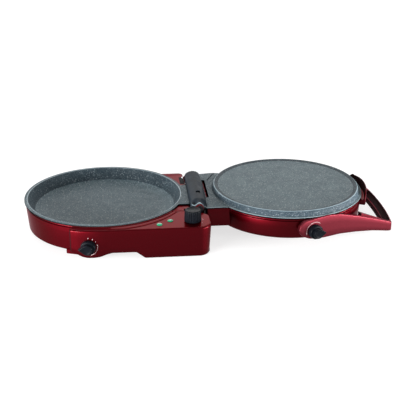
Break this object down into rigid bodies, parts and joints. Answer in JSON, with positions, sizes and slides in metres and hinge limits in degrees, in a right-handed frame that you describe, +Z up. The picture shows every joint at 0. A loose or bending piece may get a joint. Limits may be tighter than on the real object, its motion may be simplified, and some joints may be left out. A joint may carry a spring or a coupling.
{
  "type": "electric pizza maker",
  "caption": "Round countertop pizza maker, shown open flat: a coated pan in a dark red base with dials and lamps, and a hinged lid with a raised griddle plate and a loop handle.",
  "frame": {"origin": "centre of the open appliance's footprint, on the table surface", "axes": "+X from the base towards the lid's handle, +Y to the back, away from the control panel, +Z up"},
  "size_m": [0.7618, 0.3742, 0.0853],
  "materials": {
    "painted_red": "glossy dark red metallic paint on heat resistant moulding",
    "stone_coat": "matt grey speckled non-stick coating on a casting",
    "black_plastic": "satin black",
    "green_lens": "clear green",
    "steel": "zinc plated",
    "aluminium": "bright sheet",
    "rubber": "matt black",
    "white_plastic": "matt white",
    "lamp_glass": "clear"
  },
  "bodies": {
    "base": {"base_housing": "painted_red", "control_housing": "painted_red", "base_bottom_cover": "black_plastic", "control_bottom_cover": "black_plastic", "foot_pad_1": "rubber", "foot_pad_2": "rubber", "foot_pad_3": "rubber", "foot_pad_4": "rubber", "bottom_screw_1": "steel", "bottom_screw_2": "steel", "bottom_screw_3": "steel", "bottom_screw_4": "steel", "lower_pan": "stone_coat", "lower_heating_element": "steel", "lower_reflector": "aluminium", "terminal_block": "white_plastic", "power_lens": "green_lens", "power_lamp": "lamp_glass", "ready_lens": "green_lens", "ready_lamp": "lamp_glass", "cord_gland": "rubber", "hinge_rod": "steel", "hinge_clip_front": "steel", "hinge_clip_back": "steel", "timer_mechanism": "steel", "lower_thermostat": "steel"},
    "lid": {"lid_housing": "painted_red", "handle": "painted_red", "rim_guard": "painted_red", "plate_screw_1": "steel", "plate_screw_2": "steel", "plate_screw_3": "steel", "guard_screw_1": "steel", "guard_screw_2": "steel", "handle_screw_front": "steel", "handle_screw_rear": "steel", "rear_hub_cap": "black_plastic", "upper_thermostat": "steel", "upper_plate": "stone_coat", "hinge_cover_screw": "steel", "upper_heating_element": "steel", "upper_reflector": "aluminium"},
    "timer": {"timer_knob": "black_plastic", "timer_shaft": "steel"},
    "lower_dial": {"lower_thermostat_knob": "black_plastic", "lower_thermostat_shaft": "steel"},
    "upper_dial": {"upper_thermostat_knob": "black_plastic", "upper_thermostat_shaft": "steel"}
  },
  "joints": [
    {"name": "lid_hinge", "type": "hinge", "parent": "base", "child": "lid", "pos_m": [-0.02504, 0.01101, 0.066], "axis": [0, -1, 0], "range_deg": [0, 180]},
    {"name": "timer_turn", "type": "hinge", "parent": "base", "child": "timer", "pos_m": [-0.04374, -0.13599, 0.0618], "axis": [0, 0, -1], "range_deg": [0, 300]},
    {"name": "lower_dial_turn", "type": "hinge", "parent": "base", "child": "lower_dial", "pos_m": [-0.24768, -0.16719, 0.0285], "axis": [0.1754, 0.9845, 0], "range_deg": [0, 240]},
    {"name": "upper_dial_turn", "type": "hinge", "parent": "lid", "child": "upper_dial", "pos_m": [0.19645, -0.15339, 0.0371], "axis": [-0.3535, 0.9354, 0], "range_deg": [0, 290]}
  ]
}
